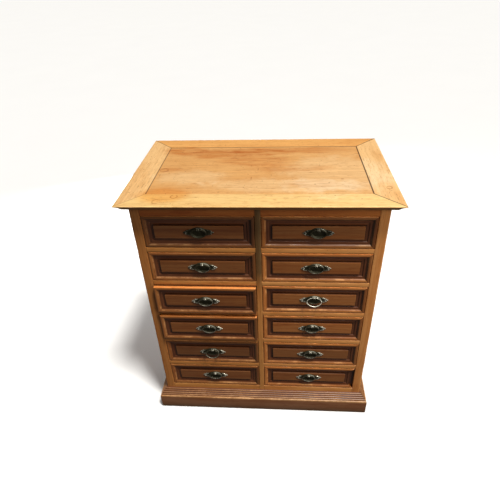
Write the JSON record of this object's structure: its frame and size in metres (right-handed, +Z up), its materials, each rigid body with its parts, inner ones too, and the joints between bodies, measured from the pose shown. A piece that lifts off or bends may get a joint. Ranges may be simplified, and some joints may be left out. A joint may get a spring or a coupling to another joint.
{
  "type": "bank of drawers",
  "caption": "Low wooden cabinet of equal shallow drawers in two columns, with a mitred top, moulded drawer fronts, ring pulls and a plinth.",
  "frame": {"origin": "centre of the plinth's underside, under the middle of the top", "axes": "+Z up, -Y out of the drawer fronts, +X to the right seen from the front"},
  "size_m": [0.84, 0.53, 0.948],
  "materials": {
    "top_wood": "polished, worn honey-coloured softwood",
    "case_wood": "polished amber softwood",
    "drawer_wood": "polished red-brown wood with darker mouldings",
    "plinth_wood": "polished red-brown wood",
    "inner_wood": "bare, dry pine",
    "bronze": "dark patinated bronze, rubbed bright on its edges"
  },
  "bodies": {
    "carcass": {"top_centre_panel": "top_wood", "top_frame": "top_wood", "carcass_sides": "case_wood", "front_stiles": "case_wood", "centre_muntin": "case_wood", "front_rails": "case_wood", "centre_partition": "inner_wood", "bottom_board": "inner_wood", "back_boards": "inner_wood", "drawer_runners": "inner_wood", "plinth_boards": "plinth_wood", "plinth_moulding": "plinth_wood"},
    "left_drawer_1": {"drawer_left_1_front": "drawer_wood", "drawer_left_1_box": "inner_wood", "drawer_left_1_handle": "bronze"},
    "left_ring_1": {"drawer_left_1_ring": "bronze"},
    "left_drawer_2": {"drawer_left_2_front": "drawer_wood", "drawer_left_2_box": "inner_wood", "drawer_left_2_handle": "bronze"},
    "left_ring_2": {"drawer_left_2_ring": "bronze"},
    "left_drawer_3": {"drawer_left_3_front": "drawer_wood", "drawer_left_3_box": "inner_wood", "drawer_left_3_handle": "bronze"},
    "left_ring_3": {"drawer_left_3_ring": "bronze"},
    "left_drawer_4": {"drawer_left_4_front": "drawer_wood", "drawer_left_4_box": "inner_wood", "drawer_left_4_handle": "bronze"},
    "left_ring_4": {"drawer_left_4_ring": "bronze"},
    "left_drawer_5": {"drawer_left_5_front": "drawer_wood", "drawer_left_5_box": "inner_wood", "drawer_left_5_handle": "bronze"},
    "left_ring_5": {"drawer_left_5_ring": "bronze"},
    "left_drawer_6": {"drawer_left_6_front": "drawer_wood", "drawer_left_6_box": "inner_wood", "drawer_left_6_handle": "bronze"},
    "left_ring_6": {"drawer_left_6_ring": "bronze"},
    "right_drawer_1": {"drawer_right_1_front": "drawer_wood", "drawer_right_1_box": "inner_wood", "drawer_right_1_handle": "bronze"},
    "right_ring_1": {"drawer_right_1_ring": "bronze"},
    "right_drawer_2": {"drawer_right_2_front": "drawer_wood", "drawer_right_2_box": "inner_wood", "drawer_right_2_handle": "bronze"},
    "right_ring_2": {"drawer_right_2_ring": "bronze"},
    "right_drawer_3": {"drawer_right_3_front": "drawer_wood", "drawer_right_3_box": "inner_wood", "drawer_right_3_handle": "bronze"},
    "right_ring_3": {"drawer_right_3_ring": "bronze"},
    "right_drawer_4": {"drawer_right_4_front": "drawer_wood", "drawer_right_4_box": "inner_wood", "drawer_right_4_handle": "bronze"},
    "right_ring_4": {"drawer_right_4_ring": "bronze"},
    "right_drawer_5": {"drawer_right_5_front": "drawer_wood", "drawer_right_5_box": "inner_wood", "drawer_right_5_handle": "bronze"},
    "right_ring_5": {"drawer_right_5_ring": "bronze"},
    "right_drawer_6": {"drawer_right_6_front": "drawer_wood", "drawer_right_6_box": "inner_wood", "drawer_right_6_handle": "bronze"},
    "right_ring_6": {"drawer_right_6_ring": "bronze"}
  },
  "joints": [
    {"name": "left_slide_1", "type": "slide", "parent": "carcass", "child": "left_drawer_1", "axis": [0, -1, 0], "range_m": [0, 0.32]},
    {"name": "left_pull_1", "type": "hinge", "parent": "left_drawer_1", "child": "left_ring_1", "pos_m": [-0.1825, -0.236, 0.85155], "axis": [-1, 0, 0], "range_deg": [0, 100]},
    {"name": "left_slide_2", "type": "slide", "parent": "carcass", "child": "left_drawer_2", "axis": [0, -1, 0], "range_m": [0, 0.32]},
    {"name": "left_pull_2", "type": "hinge", "parent": "left_drawer_2", "child": "left_ring_2", "pos_m": [-0.1825, -0.236, 0.71825], "axis": [-1, 0, 0], "range_deg": [0, 100]},
    {"name": "left_slide_3", "type": "slide", "parent": "carcass", "child": "left_drawer_3", "axis": [0, -1, 0], "range_m": [-0.0145, 0.3055]},
    {"name": "left_pull_3", "type": "hinge", "parent": "left_drawer_3", "child": "left_ring_3", "pos_m": [-0.1825, -0.2505, 0.58495], "axis": [-1, 0, 0], "range_deg": [0, 100]},
    {"name": "left_slide_4", "type": "slide", "parent": "carcass", "child": "left_drawer_4", "axis": [0, -1, 0], "range_m": [-0.0105, 0.3095]},
    {"name": "left_pull_4", "type": "hinge", "parent": "left_drawer_4", "child": "left_ring_4", "pos_m": [-0.1825, -0.2465, 0.45165], "axis": [-1, 0, 0], "range_deg": [0, 100]},
    {"name": "left_slide_5", "type": "slide", "parent": "carcass", "child": "left_drawer_5", "axis": [0, -1, 0], "range_m": [0, 0.32]},
    {"name": "left_pull_5", "type": "hinge", "parent": "left_drawer_5", "child": "left_ring_5", "pos_m": [-0.1825, -0.236, 0.31835], "axis": [-1, 0, 0], "range_deg": [-35, 65]},
    {"name": "left_slide_6", "type": "slide", "parent": "carcass", "child": "left_drawer_6", "axis": [0, -1, 0], "range_m": [0, 0.32]},
    {"name": "left_pull_6", "type": "hinge", "parent": "left_drawer_6", "child": "left_ring_6", "pos_m": [-0.1825, -0.236, 0.18505], "axis": [-1, 0, 0], "range_deg": [0, 100]},
    {"name": "right_slide_1", "type": "slide", "parent": "carcass", "child": "right_drawer_1", "axis": [0, -1, 0], "range_m": [0, 0.32]},
    {"name": "right_pull_1", "type": "hinge", "parent": "right_drawer_1", "child": "right_ring_1", "pos_m": [0.1825, -0.236, 0.85155], "axis": [-1, 0, 0], "range_deg": [0, 100]},
    {"name": "right_slide_2", "type": "slide", "parent": "carcass", "child": "right_drawer_2", "axis": [0, -1, 0], "range_m": [0, 0.32]},
    {"name": "right_pull_2", "type": "hinge", "parent": "right_drawer_2", "child": "right_ring_2", "pos_m": [0.1825, -0.236, 0.71825], "axis": [-1, 0, 0], "range_deg": [0, 100]},
    {"name": "right_slide_3", "type": "slide", "parent": "carcass", "child": "right_drawer_3", "axis": [0, -1, 0], "range_m": [0, 0.32]},
    {"name": "right_pull_3", "type": "hinge", "parent": "right_drawer_3", "child": "right_ring_3", "pos_m": [0.1825, -0.236, 0.58495], "axis": [-1, 0, 0], "range_deg": [-35, 65]},
    {"name": "right_slide_4", "type": "slide", "parent": "carcass", "child": "right_drawer_4", "axis": [0, -1, 0], "range_m": [0, 0.32]},
    {"name": "right_pull_4", "type": "hinge", "parent": "right_drawer_4", "child": "right_ring_4", "pos_m": [0.1825, -0.236, 0.45165], "axis": [-1, 0, 0], "range_deg": [0, 100]},
    {"name": "right_slide_5", "type": "slide", "parent": "carcass", "child": "right_drawer_5", "axis": [0, -1, 0], "range_m": [0, 0.32]},
    {"name": "right_pull_5", "type": "hinge", "parent": "right_drawer_5", "child": "right_ring_5", "pos_m": [0.1825, -0.236, 0.31835], "axis": [-1, 0, 0], "range_deg": [0, 100]},
    {"name": "right_slide_6", "type": "slide", "parent": "carcass", "child": "right_drawer_6", "axis": [0, -1, 0], "range_m": [0, 0.32]},
    {"name": "right_pull_6", "type": "hinge", "parent": "right_drawer_6", "child": "right_ring_6", "pos_m": [0.1825, -0.236, 0.18505], "axis": [-1, 0, 0], "range_deg": [0, 100]}
  ]
}
